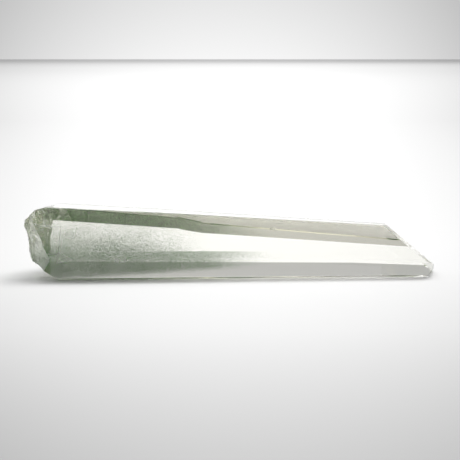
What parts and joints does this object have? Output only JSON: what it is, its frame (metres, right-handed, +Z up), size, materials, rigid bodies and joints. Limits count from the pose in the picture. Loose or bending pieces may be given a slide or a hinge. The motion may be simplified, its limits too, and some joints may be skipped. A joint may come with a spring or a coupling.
{
  "type": "quartz crystal point",
  "caption": "Clear six-sided quartz point, pale green with chlorite towards its broken base, lying on one prism face.",
  "frame": {"origin": "centre of the bounding box at the level the crystal rests on", "axes": "+X along the crystal towards its point, +Y to the back, +Z up from the face it rests on"},
  "size_m": [0.0806, 0.0152, 0.0137],
  "materials": {
    "quartz": "natural gloss"
  },
  "bodies": {
    "root": {"quartz_crystal": "quartz"}
  },
  "joints": []
}
